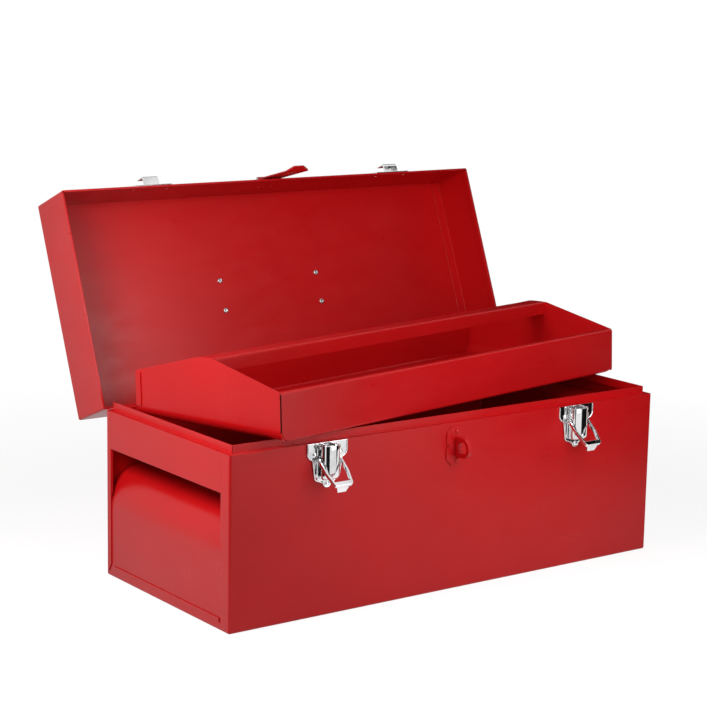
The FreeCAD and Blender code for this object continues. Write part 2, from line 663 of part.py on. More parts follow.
def latch_bail():
    """The stamped loop that hooks over the strike, with a bent finger lip, hanging outwards"""
    inner = LEVER_WIDTH / 2 + RUNNING_GAP
    outer = inner + BAIL_SHEET
    tip = outer - BAIL_TAPER
    half, corner = BAIL_ARM / 2, BAIL_SHEET
    right = [Vector(outer, -half, 0), Vector(outer, -half, -BAIL_KNEE), Vector(tip, -half, corner - BAIL_LENGTH),
             Vector(tip - corner, -half, -BAIL_LENGTH)]
    left = [Vector(-point.x, point.y, point.z) for point in reversed(right)]
    sill = BAIL_BAR - BAIL_LENGTH
    window = [Vector(inner, -half, BAIL_ARM), Vector(inner, -half, -BAIL_KNEE), Vector(tip - BAIL_SHEET, -half, sill),
              Vector(BAIL_SHEET - tip, -half, sill), Vector(-inner, -half, -BAIL_KNEE), Vector(-inner, -half, BAIL_ARM)]
    frame = prism(right + left, Y * BAIL_ARM).cut(prism(window, Y * BAIL_ARM))
    ears = [bar(X * (side * inner), X * (side * outer), half * 3 / 2, ROUND_SIDES) for side in (-1, 1)]
    lip_half = BAIL_LIP_TIP / 2
    lip = prism([Vector(-tip + BAIL_SHEET, 0, 0), Vector(tip - BAIL_SHEET, 0, 0),
                 Vector(lip_half, 0, -BAIL_LIP), Vector(-lip_half, 0, -BAIL_LIP)], Y * BAIL_SHEET)
    lip = moved(turned(lip, Vector(0, 0, 0), X, BAIL_LIP_TURN), Vector(0, -half, BAIL_SHEET - BAIL_LENGTH))
    loop = joined(frame, *ears, lip).cut(hole(-X * (outer * 2), X * (outer * 2), BAIL_PIN_RADIUS + PIN_FIT))
    loop = turned(joined(loop), Vector(0, 0, 0), X, -BAIL_HANG)
    return moved(loop, Vector(0, FRONT - BAIL_PIN_OUT, WALL_TOP - BAIL_PIN_DROP))


def strike():
    """A latch strike on the lid: a round-cornered plate with a raised hook, open upwards"""
    low = LID_BOTTOM + STRIKE_RISE
    half = STRIKE_WIDTH / 2
    base = plate(-half, LID_FRONT - PLATE_THICK, low, half, LID_FRONT, low + STRIKE_HEIGHT, STRIKE_CORNER)
    middle = HOOK_SHEET / 2
    foot = low + STRIKE_CORNER / 2
    points = [Vector(-HOOK_WIDTH / 2, LID_FRONT - middle, foot),
              Vector(-HOOK_WIDTH / 2, LID_FRONT - HOOK_OUT + middle, foot + middle),
              Vector(-HOOK_WIDTH / 2, LID_FRONT - HOOK_OUT + middle, LID_BOTTOM + HOOK_DROP + HOOK_RISE - STRIKE_CORNER)]
    hook = fold(points, HOOK_SHEET, HOOK_BEND, X).extrude(X * HOOK_WIDTH)
    return joined(base, hook).cut([bore(seat, -Y, OVERRUN) for seat in strike_seats(0)])


def latch_pin(out, drop, radius, half):
    middle = Vector(0, FRONT - out, WALL_TOP - drop)
    return headed_pin(middle - X * half, middle + X * half, radius)


def make_latches():
    lever_half = LEVER_WIDTH / 2 + RUNNING_GAP
    bail_half = lever_half + BAIL_SHEET + RUNNING_GAP
    pieces = {"latch_plate": latch_plate(), "latch_lever": latch_lever(), "latch_bail": latch_bail(),
              "latch_pin": latch_pin(LEVER_PIN_OUT, LEVER_PIN_DROP, LEVER_PIN_RADIUS, lever_half),
              "bail_pin": latch_pin(BAIL_PIN_OUT, BAIL_PIN_DROP, BAIL_PIN_RADIUS, bail_half),
              "strike": strike()}
    for side, middle in zip(("left", "right"), LATCH_PLACES):
        for name, shape in pieces.items():
            nodes[name + "_" + side] = moved(shape, X * middle)
        seats = latch_rivet_seats(middle)
        nodes["latch_rivets_" + side] = Part.makeCompound([rivet(seat, -Y, PLATE_THICK + SHEET) for seat in seats])
    seats = [seat for middle in LATCH_PLACES for seat in strike_seats(middle)]
    nodes["strike_rivets"] = Part.makeCompound([rivet(seat, -Y, PLATE_THICK + SHEET) for seat in seats])


def make_staple():
    half, middle_z = STAPLE_WIDTH / 2, (STAPLE_TOP + STAPLE_BOTTOM) / 2
    cut, notch = STAPLE_CHAMFER, STAPLE_NOTCH
    right = [(half - cut, STAPLE_TOP), (half, STAPLE_TOP - cut), (half, middle_z + notch), (half - notch, middle_z),
             (half, middle_z - notch), (half, STAPLE_BOTTOM + cut), (half - cut, STAPLE_BOTTOM)]
    outline = [Vector(x, FRONT - PLATE_THICK, z) for x, z in right]
    outline += [Vector(-x, FRONT - PLATE_THICK, z) for x, z in reversed(right)]
    base = prism(outline, Y * PLATE_THICK)
    nodes["staple_plate"] = base.cut([bore(seat, -Y, OVERRUN) for seat in staple_rivet_seats()])
    radius = STAPLE_LOOP_HEIGHT / 2
    eye = Vector(FRONT - STAPLE_LOOP_OUT + radius, 0, STAPLE_LOOP_BOTTOM + radius)
    outline = [Vector(FRONT - PLATE_THICK, 0, STAPLE_LOOP_TOP)] + curve(eye, radius, 90, 270)
    outline.append(Vector(FRONT - PLATE_THICK, 0, STAPLE_LOOP_BOTTOM))
    start = -STAPLE_BAR / 2
    loop = prism([Vector(start, point.x, point.z) for point in outline], X * STAPLE_BAR)
    opening = [Vector(start, point.x, point.z) for point in curve(eye, radius - STAPLE_BAR, 0, 360)[1:]]
    nodes["staple_loop"] = loop.cut(prism(opening, X * STAPLE_BAR))
    nodes["staple_rivets"] = Part.makeCompound(
        [rivet(seat, -Y, PLATE_THICK + SHEET) for seat in staple_rivet_seats()])


def make_hasp():
    axis = Vector(0, LID_FRONT - HASP_OUT, LID_BOTTOM + HASP_RISE)
    outer = HASP_PIN_RADIUS + PIN_FIT + HASP_WALL
    half, knuckle = HASP_WIDTH / 2, HASP_KNUCKLE / 2
    gap = KNUCKLE_GAP / 2
    clear = outer + RUNNING_GAP
    tunnel = hole(axis - X * HASP_WIDTH, axis + X * HASP_WIDTH, HASP_PIN_RADIUS + PIN_FIT)

    back = LID_FRONT - HASP_SHEET
    leaf = plate(-half, back, axis.z + clear, half, LID_FRONT, axis.z + HASP_LEAF, HASP_SHEET * 2)
    web = box(gap - knuckle, axis.y, axis.z + outer - HASP_SHEET, knuckle - gap, LID_FRONT, axis.z + outer)
    riser = box(gap - knuckle, back, axis.z + outer - HASP_SHEET, knuckle - gap, LID_FRONT, axis.z + clear + HASP_SHEET)
    tube = bar(axis + X * (gap - knuckle), axis + X * (knuckle - gap), outer, ROUND_SIDES)
    holes = [bore(seat, -Y, OVERRUN) for seat in hasp_seats()]
    nodes["hasp_leaf"] = joined(joined(leaf, web, riser, tube).cut([tunnel] + holes))
    nodes["hasp_rivets"] = Part.makeCompound([rivet(seat, -Y, HASP_SHEET + SHEET) for seat in hasp_seats()])
    nodes["hasp_pin"] = headed_pin(axis - X * half, axis + X * half, HASP_PIN_RADIUS)

    taper = axis.z - HASP_REACH + HASP_NOSE
    nose = math.radians(HASP_NOSE_TURN)
    end = taper - HASP_NOSE * math.cos(nose)
    points = [Vector(-half, axis.y, axis.z), Vector(-half, axis.y, taper),
              Vector(-half, axis.y - HASP_NOSE * math.sin(nose), end)]
    strap = fold(points, HASP_SHEET, HASP_NOSE / 2, X).extrude(X * HASP_WIDTH)
    tip, far, near = HASP_TIP / 2, end - HASP_SHEET, axis.y - HASP_REACH
    outline = [Vector(-half, near, axis.z + outer), Vector(-half, near, taper), Vector(-tip, near, end),
               Vector(-tip, near, far), Vector(tip, near, far), Vector(tip, near, end),
               Vector(half, near, taper), Vector(half, near, axis.z + outer)]
    strap = strap.common(prism(outline, Y * (HASP_REACH * 2)))
    slot_half = HASP_SLOT_WIDTH / 2
    slot = box(-slot_half, axis.y - HASP_SHEET, STAPLE_LOOP_BOTTOM - HASP_SLOT_MARGIN,
               slot_half, axis.y + HASP_SHEET, STAPLE_LOOP_TOP + HASP_SLOT_MARGIN)
    room = bar(axis - X * (knuckle + gap), axis + X * (knuckle + gap), clear, ROUND_SIDES)
    tubes = [bar(axis + X * (side * (knuckle + gap)), axis + X * (side * half), outer, ROUND_SIDES)
             for side in (-1, 1)]
    strap = joined(strap.cut([slot, room]), *tubes).cut(tunnel)
    nodes["hasp_strap"] = turned(strap, axis, X, HASP_LEAN)


def make_handle():
    """The folding carry handle on the lid, with its two riveted brackets and its grip"""
    axis_z = LID_TOP + HANDLE_AXIS_UP
    half_width, half_length = BRACKET_WIDTH / 2, BRACKET_LENGTH / 2
    for side, name in ((-1, "left"), (1, "right")):
        middle = Vector(side * GRIP_SPAN / 2, HANDLE_SHIFT, LID_TOP)
        outline = plate(-half_width, 0, -half_length, half_width, BRACKET_SHEET, half_length, BRACKET_CORNER)
        base = moved(turned(outline, Vector(0, 0, 0), X, 90), middle + Z * BRACKET_SHEET)
        base = moved(base, Z * (LID_TOP - base.BoundBox.ZMin))
        eye = Vector(middle.y, 0, axis_z)
        ear = [Vector(eye.x - BRACKET_EAR, 0, LID_TOP), Vector(eye.x + BRACKET_EAR, 0, LID_TOP)]
        ear += curve(eye, BRACKET_EAR, 0, 180)
        ear = prism([Vector(middle.x - BRACKET_SHEET, point.x, point.z) for point in ear], X * (BRACKET_SHEET * 2))
        start = Vector(middle.x - half_width, eye.x, axis_z)
        holes = [rod(start, start + X * BRACKET_WIDTH, HANDLE_ROD + PIN_FIT)]
        holes += [bore(seat, Z, OVERRUN / 2) for seat in bracket_seats(side)]
        nodes["handle_bracket_" + name] = joined(base, ear).cut(holes)
    nodes["handle_rivets"] = Part.makeCompound(
        [rivet(seat, Z, BRACKET_SHEET + SHEET) for side in (-1, 1) for seat in bracket_seats(side)])

    eye = Vector(0, HANDLE_SHIFT, axis_z)
    stub, leg = GRIP_SPAN / 2 + HANDLE_STUB - BRACKET_SHEET, GRIP_SPAN / 2 - HANDLE_LEG_INSET
    corners = [Vector(-stub, 0, 0), Vector(-leg, 0, 0), Vector(-leg, HANDLE_REACH, 0),
               Vector(leg, HANDLE_REACH, 0), Vector(leg, 0, 0), Vector(stub, 0, 0)]
    route = [corners[0]]
    for before, here, after in zip(corners, corners[1:], corners[2:]):
        into, out = (here - before).normalize(), (after - here).normalize()
        centre = here + (out - into) * HANDLE_BEND
        for step in range(BEND_STEPS + 1):
            turn = math.pi / 2 * step / BEND_STEPS
            route.append(centre - out * (HANDLE_BEND * math.cos(turn)) + into * (HANDLE_BEND * math.sin(turn)))
    route.append(corners[-1])
    rings = []
    for place, point in enumerate(route):
        into = (point - route[place - 1]).normalize() if place else X
        out = (route[place + 1] - point).normalize() if place + 1 < len(route) else X
        tangent = (into + out).normalize()
        across = Z.cross(tangent) / math.cos(into.getAngle(out) / 2)
        rings.append([point + across * spot.x + Z * spot.y for spot in ring(HANDLE_ROD, 0, SMALL_SIDES)])
    nodes["carry_handle"] = moved(turned(skin(rings), Vector(0, 0, 0), X, HANDLE_HANG), eye)

    low, mid = GRIP_RADIUS - GRIP_SWELL, leg - HANDLE_BEND
    barrel = mid - GRIP_TAPER
    grip = skin([[Vector(place, HANDLE_REACH - spot.x, spot.y) for spot in ring(radius, 0, ROUND_SIDES)]
                 for place, radius in ((-mid, low), (-barrel, GRIP_RADIUS), (barrel, GRIP_RADIUS), (mid, low))])
    core = skin([[Vector(place, HANDLE_REACH - spot.x, spot.y) for spot in ring(HANDLE_ROD, 0, SMALL_SIDES)]
                 for place in (-leg, leg)])
    nodes["handle_grip"] = moved(turned(grip.cut(core), Vector(0, 0, 0), X, HANDLE_HANG), eye)


def make_tray():
    """The tote tray in its own frame: centre of its flat bottom at the origin"""
    half, deep, thick = TRAY_LENGTH / 2 - TRAY_SHEET, TRAY_DEPTH / 2, TRAY_SHEET
    mid = thick / 2
    points = [Vector(0, TRAY_FLANGE - deep, TRAY_WALL - mid), Vector(0, mid - deep, TRAY_WALL - mid),
              Vector(0, mid - deep, mid), Vector(0, deep - mid, mid),
              Vector(0, deep - mid, TRAY_WALL - mid), Vector(0, deep - TRAY_FLANGE, TRAY_WALL - mid)]
    pan = moved(fold(points, thick, TRAY_BEND, X).extrude(X * (half * 2)), X * -half)
    for side in (-1, 1):
        start = side * (half - TRAY_END_BEND)
        corner_box = box(min(start, side * TRAY_LENGTH), -TRAY_DEPTH, -thick,
                         max(start, side * TRAY_LENGTH), TRAY_DEPTH, TRAY_END_BEND + thick)
        round_end = rod(Vector(start, -TRAY_DEPTH, TRAY_END_BEND + thick),
                        Vector(start, TRAY_DEPTH, TRAY_END_BEND + thick), TRAY_END_BEND)
        floor_room = box(min(start, side * TRAY_LENGTH), thick * 2 - deep, -thick,
                         max(start, side * TRAY_LENGTH), deep - thick * 2, thick * 2)
        hem_room = box(min(side * (half - thick), side * TRAY_LENGTH), thick - deep, TRAY_WALL - thick - TRAY_BEND,
                       max(side * (half - thick), side * TRAY_LENGTH), deep - thick, TRAY_WALL + thick)
        pan = pan.cut([corner_box.cut(round_end), floor_room, hem_room])
        tab = box(min(side * half, side * (half + thick)), deep - TRAY_SIDE_TAB, TRAY_END_BEND + thick * 2,
                  max(side * half, side * (half + thick)), deep, TRAY_WALL - thick * 2)
        pan = pan.fuse(tab)
    nodes["tray_pan"] = joined(pan)

    edge = half - mid
    lap = TRAY_END_BEND * 3
    points = [Vector(edge - lap, 0, thick + mid), Vector(edge, 0, thick + mid), Vector(edge, 0, TRAY_PEAK - mid)]
    sheet = fold(points, thick, TRAY_END_BEND - mid, Y)
    width = deep - thick
    end = moved(sheet.extrude(Y * (width * 2)), Y * -width)
    rail = RAIL_WIDTH / 2
    low, bend = width - TRAY_BEND, thick + TRAY_BEND
    outline = [Vector(0, -low, 0), Vector(0, -low, thick), Vector(0, -width, bend), Vector(0, -width, TRAY_WALL),
               Vector(0, -rail, TRAY_PEAK), Vector(0, rail, TRAY_PEAK), Vector(0, width, TRAY_WALL),
               Vector(0, width, bend), Vector(0, low, thick), Vector(0, low, 0)]
    end = end.common(prism(outline, X * TRAY_LENGTH))
    nodes["tray_end_right"] = end
    nodes["tray_end_left"] = mirrored(end)

    points = [Vector(0, mid - rail, TRAY_PEAK - RAIL_SIDE), Vector(0, mid - rail, TRAY_PEAK - mid),
              Vector(0, rail - mid, TRAY_PEAK - mid), Vector(0, rail - mid, TRAY_PEAK - RAIL_SIDE)]
    run = half - thick
    nodes["tray_rail"] = moved(fold(points, thick, TRAY_BEND, X).extrude(X * (run * 2)), X * -run)


def crossing(first, second, axis, value):
    """Where the line through two points reaches one value of x or y"""
    share = (value - getattr(first, axis)) / (getattr(second, axis) - getattr(first, axis))
    return first + (second - first) * share


def tray_place():
    """The tray lies askew on the front rim, the right rim and the back edge of the open lid"""
    spin = Rotation(Z, TRAY_YAW)
    middle = Vector(TRAY_SHIFT_X, TRAY_SHIFT_Y, 0)
    corners = {}
    for x_side in (-1, 1):
        for y_side in (-1, 1):
            corner = Vector(x_side * TRAY_LENGTH / 2, y_side * TRAY_DEPTH / 2, 0)
            corners[x_side, y_side] = middle + spin.multVec(corner)
    front_rim, right_rim = FRONT + LEDGE_WIDTH, HALF - LEDGE_WIDTH
    on_front = crossing(corners[-1, -1], corners[-1, 1], "y", front_rim) + Z * RIM_TOP
    on_right = crossing(corners[1, -1], corners[1, 1], "x", right_rim) + Z * RIM_TOP
    lid_edge = Vector(0, LID_BACK - SHEET * 2, LID_BOTTOM) - HINGE_POINT
    lid_edge = HINGE_POINT + Rotation(X, -LID_OPEN).multVec(lid_edge)
    on_back = crossing(corners[-1, 1], corners[1, 1], "y", lid_edge.y) + Z * lid_edge.z
    normal = (on_right - on_front).cross(on_back - on_front).normalize()
    tilt = Rotation(Z, normal)
    height = on_front.z - (normal.x * (middle.x - on_front.x) + normal.y * (middle.y - on_front.y)) / normal.z
    return Placement(middle + Z * (height + TRAY_SEAT_GAP), tilt.multiply(spin))


LID_NODES = ("lid_wrap", "lid_end_left", "lid_end_right", "hinge_leaf_lid", "hinge_rivets_lid", "strike_left",
             "strike_right", "strike_rivets", "hasp_leaf", "hasp_pin", "hasp_rivets", "hasp_strap",
             "handle_bracket_left", "handle_bracket_right", "handle_rivets", "carry_handle", "handle_grip")
TRAY_NODES = ("tray_pan", "tray_end_left", "tray_end_right", "tray_rail")

make_body()
make_lid()
make_hinge()
make_latches()
make_staple()
make_hasp()
make_handle()
make_tray()

for name in LID_NODES:
    nodes[name] = turned(nodes[name], HINGE_POINT, X, -LID_OPEN)
place = tray_place()
for name in TRAY_NODES:
    nodes[name] = nodes[name].transformed(place.toMatrix())

os.makedirs("parts", exist_ok=True)
for name, shape in nodes.items():
    shape.exportStep(os.path.join("parts", name + ".step"))
    print(name, shape.ShapeType, len(shape.Solids), shape.isValid(), round(shape.Volume, 1))
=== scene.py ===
import json
import math

import bmesh
import bpy
from mathutils import Matrix, Vector

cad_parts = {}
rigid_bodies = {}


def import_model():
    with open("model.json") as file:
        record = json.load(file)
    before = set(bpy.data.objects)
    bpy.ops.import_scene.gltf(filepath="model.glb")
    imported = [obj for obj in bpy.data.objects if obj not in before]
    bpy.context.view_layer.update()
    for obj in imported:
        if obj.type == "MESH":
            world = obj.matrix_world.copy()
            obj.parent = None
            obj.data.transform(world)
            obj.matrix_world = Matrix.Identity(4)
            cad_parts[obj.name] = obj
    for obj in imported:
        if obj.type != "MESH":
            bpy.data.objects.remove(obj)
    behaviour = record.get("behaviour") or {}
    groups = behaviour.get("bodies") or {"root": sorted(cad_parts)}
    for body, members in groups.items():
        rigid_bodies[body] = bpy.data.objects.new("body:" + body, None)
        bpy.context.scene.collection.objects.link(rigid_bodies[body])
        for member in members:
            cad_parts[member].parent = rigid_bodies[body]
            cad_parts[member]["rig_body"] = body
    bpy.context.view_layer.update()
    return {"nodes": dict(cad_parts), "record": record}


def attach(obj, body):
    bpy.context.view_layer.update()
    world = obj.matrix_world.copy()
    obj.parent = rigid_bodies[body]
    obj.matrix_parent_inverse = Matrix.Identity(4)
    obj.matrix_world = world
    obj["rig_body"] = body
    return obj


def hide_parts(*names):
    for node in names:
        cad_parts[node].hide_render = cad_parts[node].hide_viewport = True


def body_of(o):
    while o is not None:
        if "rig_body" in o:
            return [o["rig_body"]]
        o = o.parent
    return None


# Looks of the steel tool box, put on the meshes of its CAD nodes
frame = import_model()
nodes = frame["nodes"]

MM = 0.001
WHITE = (1.0, 1.0, 1.0, 1.0)

# Paint and metal
RED = (0.62, 0.006, 0.008, 1.0)
RED_DEEP = (0.56, 0.005, 0.007, 1.0)
CHROME = (0.80, 0.80, 0.81, 1.0)
CHROME_DULL = (0.62, 0.62, 0.63, 1.0)
STEEL = (0.56, 0.56, 0.56, 1.0)
STEEL_DULL = (0.42, 0.42, 0.43, 1.0)
PLASTIC = (0.018, 0.018, 0.019, 1.0)
PLASTIC_WORN = (0.045, 0.045, 0.045, 1.0)
# Painted shade: near-black reds that stand for the shadow in the tray's corner seam, dull and with weak gloss
SEAM_SHADE = (0.030, 0.001, 0.001, 1.0)
SEAM_SHADE_DEEP = (0.015, 0.0005, 0.0005, 1.0)
SEAM_SHADE_ROUGHNESS = 0.7
SEAM_SHADE_SPECULAR = 0.1
RED_SPECULAR = 0.28
BEVEL_SAMPLES = 6


class Shader:
    """A few short words for building one node material"""

    def __init__(self, name):
        self.material = bpy.data.materials.new(name)
        self.material.use_nodes = True
        self.tree = self.material.node_tree
        self.tree.nodes.clear()
        self.out = self.add("ShaderNodeOutputMaterial")
        self.bsdf = self.add("ShaderNodeBsdfPrincipled")
        self.link(self.bsdf, "BSDF", self.out, "Surface")
        self.place = self.add("ShaderNodeTexCoord")

    def add(self, kind, **values):
        node = self.tree.nodes.new(kind)
        for name, value in values.items():
            setattr(node, name, value)
        return node

    def link(self, source, output, target, socket):
        self.tree.links.new(source.outputs[output], target.inputs[socket])

    def noise(self, scale, detail, roughness=0.5, stretch=(1.0, 1.0, 1.0)):
        """Noise in the object's own place, stretched along its axes"""
        mapping = self.add("ShaderNodeMapping")
        mapping.inputs["Scale"].default_value = stretch
        self.link(self.place, "Object", mapping, "Vector")
        noise = self.add("ShaderNodeTexNoise")
        noise.inputs["Scale"].default_value = scale
        noise.inputs["Detail"].default_value = detail
        noise.inputs["Roughness"].default_value = roughness
        self.link(mapping, "Vector", noise, "Vector")
        return noise

    def ramp(self, source, output, low, high, stops):
        """A colour that goes from low to high between two values"""
        ramp = self.add("ShaderNodeValToRGB")
        first, last = ramp.color_ramp.elements
        first.position, last.position = stops
        first.color, last.color = low, high
        self.link(source, output, ramp, "Fac")
        return ramp

    def span(self, source, output, low, high, stops):
        """A number that goes from low to high between two values"""
        spread = self.add("ShaderNodeMapRange")
        spread.inputs["From Min"].default_value = stops[0]
        spread.inputs["From Max"].default_value = stops[1]
        spread.inputs["To Min"].default_value = low
        spread.inputs["To Max"].default_value = high
        self.link(source, output, spread, "Value")
        return spread

    def bump(self, source, output, strength, distance, under):
        """A fine relief on top of another normal"""
        bump = self.add("ShaderNodeBump")
        bump.inputs["Strength"].default_value = strength
        bump.inputs["Distance"].default_value = distance
        self.link(source, output, bump, "Height")
        self.link(under, "Normal", bump, "Normal")
        return bump

    def bevel(self, radius):
        """Edges that shade as if they were rounded"""
        bevel = self.add("ShaderNodeBevel", samples=BEVEL_SAMPLES)
        bevel.inputs["Radius"].default_value = radius
        return bevel


def red_paint():
    """Satin-gloss powder coat: a fine orange peel, faint cloudiness and softly rounded sheet edges"""
    shader = Shader("red_powder_coat")
    cloud = shader.noise(scale=9.0, detail=5.0, roughness=0.55)
    colour = shader.ramp(cloud, "Fac", RED_DEEP, RED, stops=(0.30, 0.72))
    shader.link(colour, "Color", shader.bsdf, "Base Color")
    smear = shader.noise(scale=26.0, detail=6.0, roughness=0.6, stretch=(1.0, 1.0, 2.2))
    gloss = shader.span(smear, "Fac", low=0.27, high=0.37, stops=(0.3, 0.7))
    shader.link(gloss, "Result", shader.bsdf, "Roughness")
    peel = shader.noise(scale=900.0, detail=2.0)
    edge = shader.bevel(radius=0.6 * MM)
    skin = shader.bump(peel, "Fac", strength=0.05, distance=0.2 * MM, under=edge)
    shader.link(skin, "Normal", shader.bsdf, "Normal")
    shader.bsdf.inputs["Specular IOR Level"].default_value = RED_SPECULAR
    return shader.material


def chrome():
    """Bright chrome plate over a stamping, with faint polishing lines and fingered patches"""
    shader = Shader("chrome_plate")
    cloud = shader.noise(scale=60.0, detail=4.0, roughness=0.6)
    colour = shader.ramp(cloud, "Fac", CHROME_DULL, CHROME, stops=(0.28, 0.55))
    shader.link(colour, "Color", shader.bsdf, "Base Color")
    shader.bsdf.inputs["Metallic"].default_value = 1.0
    smear = shader.noise(scale=180.0, detail=5.0, roughness=0.6, stretch=(1.0, 1.0, 0.2))
    gloss = shader.span(smear, "Fac", low=0.03, high=0.10, stops=(0.3, 0.75))
    shader.link(gloss, "Result", shader.bsdf, "Roughness")
    wave = shader.noise(scale=120.0, detail=2.0)
    edge = shader.bevel(radius=0.35 * MM)
    skin = shader.bump(wave, "Fac", strength=0.12, distance=0.3 * MM, under=edge)
    shader.link(skin, "Normal", shader.bsdf, "Normal")
    return shader.material


def bright_steel():
    """Zinc-plated pins and rivets, slightly dull"""
    shader = Shader("bright_steel")
    cloud = shader.noise(scale=300.0, detail=4.0, roughness=0.6)
    colour = shader.ramp(cloud, "Fac", STEEL_DULL, STEEL, stops=(0.3, 0.7))
    shader.link(colour, "Color", shader.bsdf, "Base Color")
    shader.bsdf.inputs["Metallic"].default_value = 1.0
    gloss = shader.span(cloud, "Fac", low=0.22, high=0.40, stops=(0.3, 0.7))
    shader.link(gloss, "Result", shader.bsdf, "Roughness")
    shader.link(shader.bevel(radius=0.3 * MM), "Normal", shader.bsdf, "Normal")
    return shader.material


def black_plastic():
    """The moulded handle grip, finely grained and a little polished by hands"""
    shader = Shader("black_grip_plastic")
    cloud = shader.noise(scale=70.0, detail=4.0, roughness=0.55)
    colour = shader.ramp(cloud, "Fac", PLASTIC, PLASTIC_WORN, stops=(0.45, 0.85))
    shader.link(colour, "Color", shader.bsdf, "Base Color")
    gloss = shader.span(cloud, "Fac", low=0.38, high=0.55, stops=(0.3, 0.7))
    shader.link(gloss, "Result", shader.bsdf, "Roughness")
    grain = shader.noise(scale=1600.0, detail=3.0, roughness=0.6)
    edge = shader.bevel(radius=0.6 * MM)
    skin = shader.bump(grain, "Fac", strength=0.25, distance=0.15 * MM, under=edge)
    shader.link(skin, "Normal", shader.bsdf, "Normal")
    return shader.material


def seam_painted_shade():
    """Painted shade: a near-black red that stands for the shadow in a seam's gap"""
    shader = Shader("red_seam_painted_shade")
    cloud = shader.noise(scale=40.0, detail=3.0)
    colour = shader.ramp(cloud, "Fac", SEAM_SHADE_DEEP, SEAM_SHADE, stops=(0.3, 0.7))
    shader.link(colour, "Color", shader.bsdf, "Base Color")
    shader.bsdf.inputs["Roughness"].default_value = SEAM_SHADE_ROUGHNESS
    shader.bsdf.inputs["Specular IOR Level"].default_value = SEAM_SHADE_SPECULAR
    return shader.material


MATERIALS = {"red_paint": red_paint(), "bright_chrome": chrome(), "bright_steel": bright_steel(),
             "black_grip": black_plastic()}


SLOTS = {row["node"]: row["material_slot"] for row in frame["record"]["subparts"]}


def dress_nodes():
    """Give every CAD piece the material of its slot"""
    for node, slot in SLOTS.items():
        piece = nodes[node]
        piece.data.materials.clear()
        piece.data.materials.append(MATERIALS[slot])


dress_nodes()


# Small metal parts: round and softened copies of the CAD nodes, each riding on its node's own body
LID_OPEN = math.radians(112.0)
LID_OUT = Vector((0.0, math.sin(LID_OPEN), math.cos(LID_OPEN)))
LID_FORWARD = Vector((0.0, -math.cos(LID_OPEN), math.sin(LID_OPEN)))
AXES = (Vector((1, 0, 0)), Vector((0, 1, 0)), Vector((0, 0, 1)), LID_OUT, LID_FORWARD)
PINS = ("latch_pin", "bail_pin", "hinge_pin", "hasp_pin")
PLATES = ("latch_plate", "latch_bail", "strike_", "hinge_leaf", "staple_plate", "staple_loop",
          "hasp_leaf", "hasp_strap", "handle_bracket", "carry_handle", "handle_grip")
ROUND_STEPS = 28
WELD = 1e-6
FLAT_TURN = 1.0
SOFT_EDGE = 0.3 * MM
SOFT_TURN = 40.0
SHARP_TURN = 50.0
HEAD_RISE = 1.5 * MM
HEAD_STEPS = 5
HEAD_TURN = 84.0
TAIL_RISE = 0.95 * MM
TAIL_RADIUS = 2.8 * MM
TAIL_SHAPE = ((0.8, 0.05), (0.75, 0.3), (0.2, 0.42), (0.0, 0.55), (0.05, 0.72), (0.4, 0.92), (1.0, 1.0))
EDGE_SEGMENTS = 2
LEVEL_DIGITS = 5
ALONG_DIGITS = 6
RADIUS_DIGITS = 5


def set_in_place(piece, node):
    """Show a piece in the material of its node's slot and on its node's body"""
    bpy.context.scene.collection.objects.link(piece)
    piece.data.materials.clear()
    piece.data.materials.append(MATERIALS[SLOTS[node]])
    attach(piece, body_of(nodes[node])[0])


def as_piece(name, shape):
    """The object of a finished bmesh"""
    mesh = bpy.data.meshes.new(name)
    shape.to_mesh(mesh)
    shape.free()
    return bpy.data.objects.new(name, mesh)


def break_edges(piece, width, turn):
    """Bevel the edges that turn by more than an angle in degrees"""
    bevel = piece.modifiers.new("edges", "BEVEL")
    bevel.width = width
    bevel.segments = EDGE_SEGMENTS
    bevel.limit_method = "ANGLE"
    bevel.angle_limit = math.radians(turn)


def welded(node):
    """A node's mesh with its doubled points joined"""
    shape = bmesh.new()
    shape.from_mesh(nodes[node].data)
    bmesh.ops.remove_doubles(shape, verts=shape.verts, dist=WELD)
    return shape


def softened(node):
    """A copy of a node with its round faces shaded smooth and its edges broken"""
    shape = welded(node)
    bmesh.ops.dissolve_limit(shape, angle_limit=math.radians(FLAT_TURN), verts=shape.verts, edges=shape.edges)
    for face in shape.faces:
        face.smooth = True
    piece = as_piece(node + "_soft", shape)
    break_edges(piece, SOFT_EDGE, SOFT_TURN)
    normals = piece.modifiers.new("normals", "WEIGHTED_NORMAL")
    normals.mode = "FACE_AREA_WITH_ANGLE"
    set_in_place(piece, node)
    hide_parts(node)


def islands(shape):
    """The separate solids of one mesh, as lists of points"""
    left = set(shape.verts)
    while left:
        seed = min(left, key=lambda vertex: vertex.index)
        group, edge = {seed}, [seed]
        while edge:
            vertex = edge.pop()
            for link in vertex.link_edges:
                after = link.other_vert(vertex)
                if after not in group:
                    group.add(after)
                    edge.append(after)
        left -= group
        yield [vertex.co.copy() for vertex in sorted(group, key=lambda vertex: vertex.index)]


def lathe(shape, centre, axis, profile):
    """Turn a profile of (distance along, radius) about an axis"""
    across = axis.orthogonal().normalized()
    other = axis.cross(across)
    rows = []
    for along, radius in profile:
        row = []
        for step in range(ROUND_STEPS):
            turn = 2 * math.pi * step / ROUND_STEPS
            around = across * math.cos(turn) + other * math.sin(turn)
            row.append(shape.verts.new(centre + axis * along + around * radius))
        rows.append(row)
    for low, high in zip(rows, rows[1:]):
        for here in range(ROUND_STEPS):
            after = (here + 1) % ROUND_STEPS
            shape.faces.new((low[here], low[after], high[after], high[here])).smooth = True
    shape.faces.new(reversed(rows[0]))
    shape.faces.new(rows[-1])


def levels(points, axis):
    """At how many heights along an axis the points lie"""
    return len({round(point.dot(axis), LEVEL_DIGITS) for point in points})


